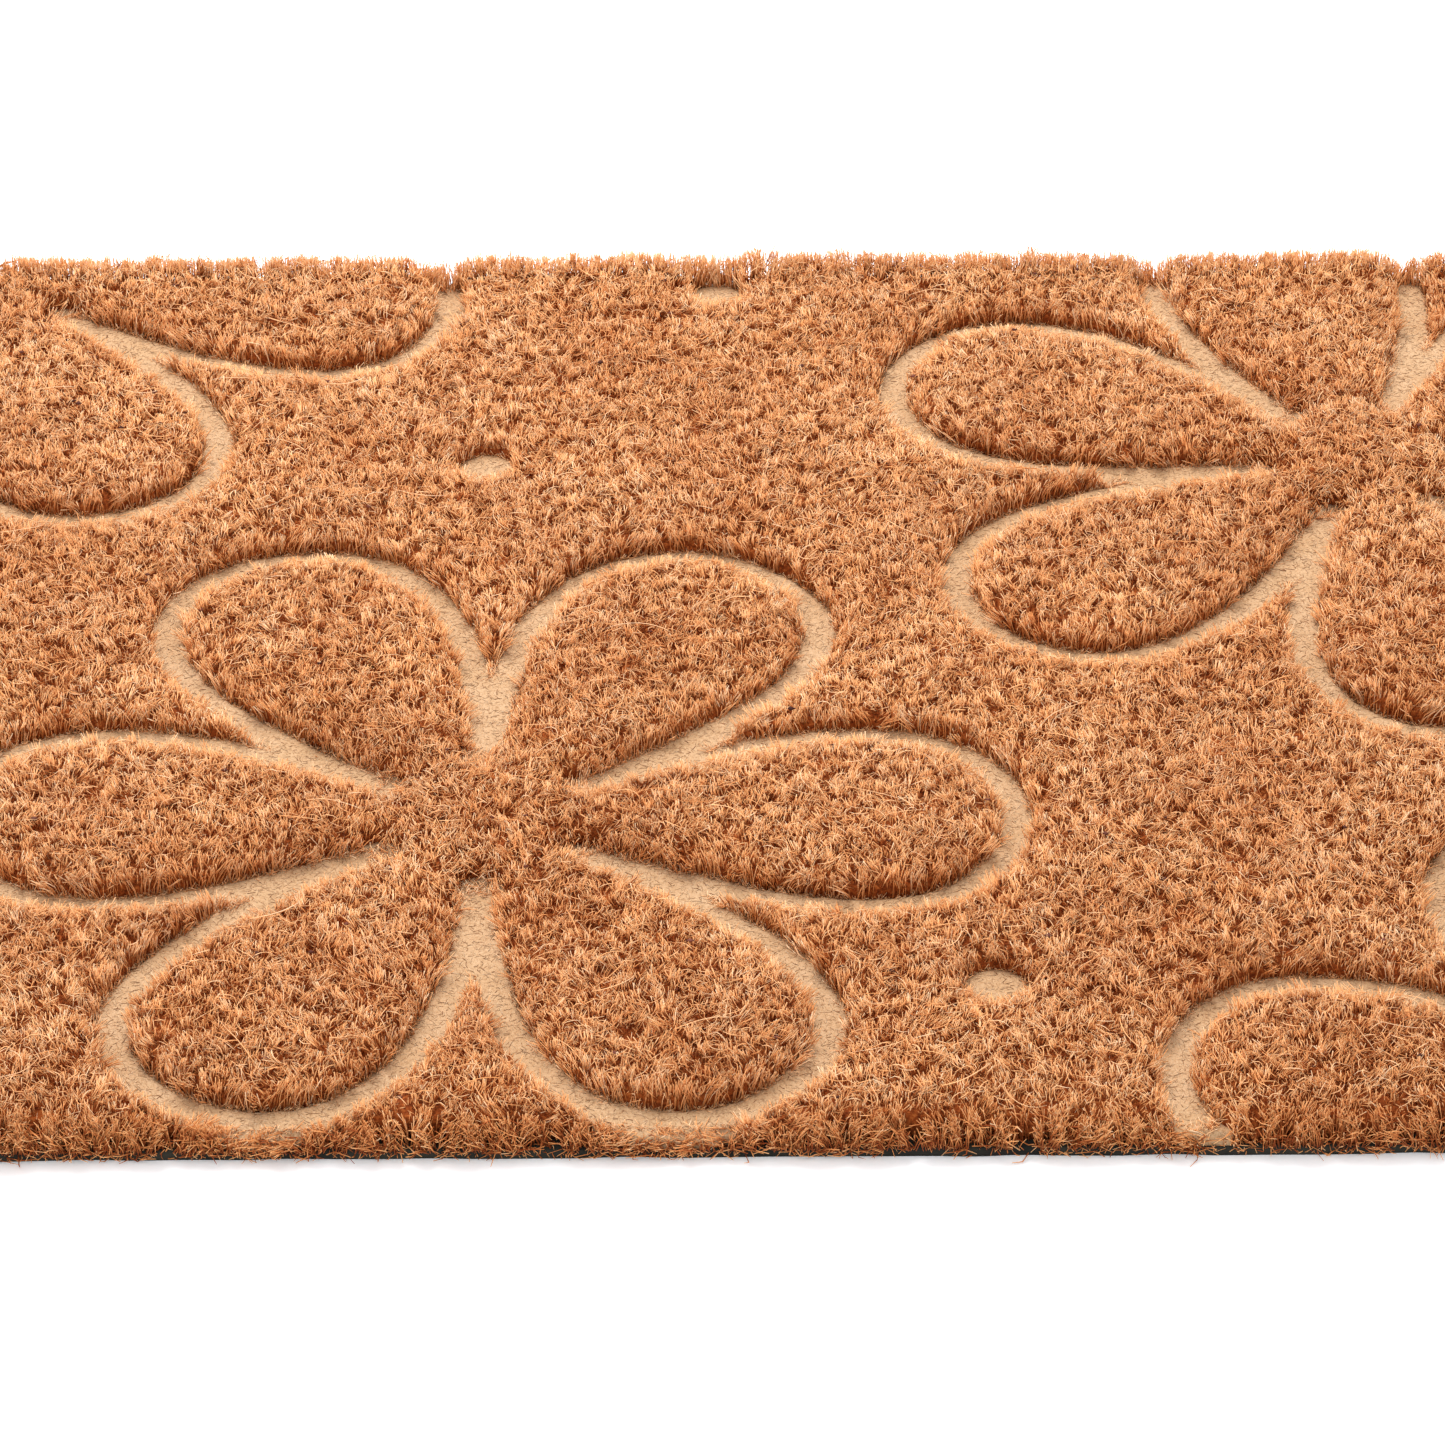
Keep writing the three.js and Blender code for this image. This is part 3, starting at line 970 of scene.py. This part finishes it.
def husk_flecks():
    """Small dark bits of husk caught in the pile."""
    count = 420
    x = rng.uniform(X_LOW + 6 * MM, X_HIGH - 6 * MM, count)
    y = rng.uniform(Y_LOW + 6 * MM, Y_HIGH - 6 * MM, count)
    keep = read(WALL, x, y) > 2 * MM
    x, y = x[keep], y[keep]
    count = len(x)
    centre = np.stack([x, y, pile_height(x, y) - rng.uniform(0, 1.5, count) * MM], 1)
    axes = np.concatenate([np.eye(3)[:2], -np.eye(3)[:2], np.eye(3)[2:], -np.eye(3)[2:]])
    size = rng.uniform(0.5, 1.5, (count, 1, 1)) * MM * rng.uniform(0.5, 1.3, (count, 6, 1))
    points = centre[:, None] + axes[None] * size * np.array([1, 0.8, 0.5])
    faces = [(a, (a + 1) % 4, 4) for a in range(4)] + [((a + 1) % 4, a, 5) for a in range(4)]
    triangles = np.array(faces)[None] + np.arange(count)[:, None, None] * 6
    shade = np.repeat(rng.random(count), 6)
    piece = mesh_piece("husk_flecks", points.reshape(-1, 3), triangles.reshape(-1, 3), fleck_husk, shade)
    finish_piece(piece, "coir")


# ---- stage, light and camera ----

def stage():
    """A plain white floor."""
    half = 4.0
    corners = [(-half, -half, 0), (half, -half, 0), (half, half, 0), (-half, half, 0)]
    mesh = bpy.data.meshes.new("floor")
    mesh.from_pydata(corners, [], [(0, 1, 2, 3)])
    material, _, shader = new_material("floor", 0.9, 0.1)
    shader.inputs["Base Color"].default_value = (0.93, 0.94, 0.95, 1)
    shader.inputs["Emission Color"].default_value = (0.92, 0.97, 1, 1)
    shader.inputs["Emission Strength"].default_value = 0.16
    mesh.materials.append(material)
    floor = bpy.data.objects.new("floor", mesh)
    bpy.context.scene.collection.objects.link(floor)


def area_light(name, place, target, size, power):
    """A round lamp at a place, turned to its target."""
    light = bpy.data.lights.new(name, "AREA")
    light.shape = "DISK"
    light.size = size
    light.energy = power
    holder = bpy.data.objects.new(name, light)
    holder.location = place
    holder.rotation_euler = (Vector(target) - Vector(place)).to_track_quat("-Z", "Y").to_euler()
    bpy.context.scene.collection.objects.link(holder)


def lighting():
    """An even pale studio with one large lamp overhead, a little behind the mat and to its left."""
    world = bpy.data.worlds.new("studio")
    world.use_nodes = True
    background = world.node_tree.nodes["Background"]
    background.inputs["Color"].default_value = (0.97, 0.985, 1, 1)
    background.inputs["Strength"].default_value = 1.25
    bpy.context.scene.world = world
    area_light("overhead", (-0.3, 0.8, 1.65), (0, 0.1, 0), 1.3, 41)
    bpy.context.scene.view_settings.view_transform = "Standard"


def camera():
    """The photograph's view: from the near side, 34 degrees down, through a long lens."""
    data = bpy.data.cameras.new("camera")
    data.sensor_width = 36
    data.lens = 148.2
    data.clip_start, data.clip_end = 0.05, 20
    holder = bpy.data.objects.new("camera", data)
    holder.location = (-0.013, -1.4618, 0.9816)
    holder.rotation_euler = (math.radians(90 - 34.23), 0, math.radians(-0.54))
    bpy.context.scene.collection.objects.link(holder)
    bpy.context.scene.camera = holder


camera()
stage()
lighting()
pile_bodies()
pressed_bodies()
backing()
grow_pile()
fringe()
felt_fibres()
loose_fibres()
husk_flecks()
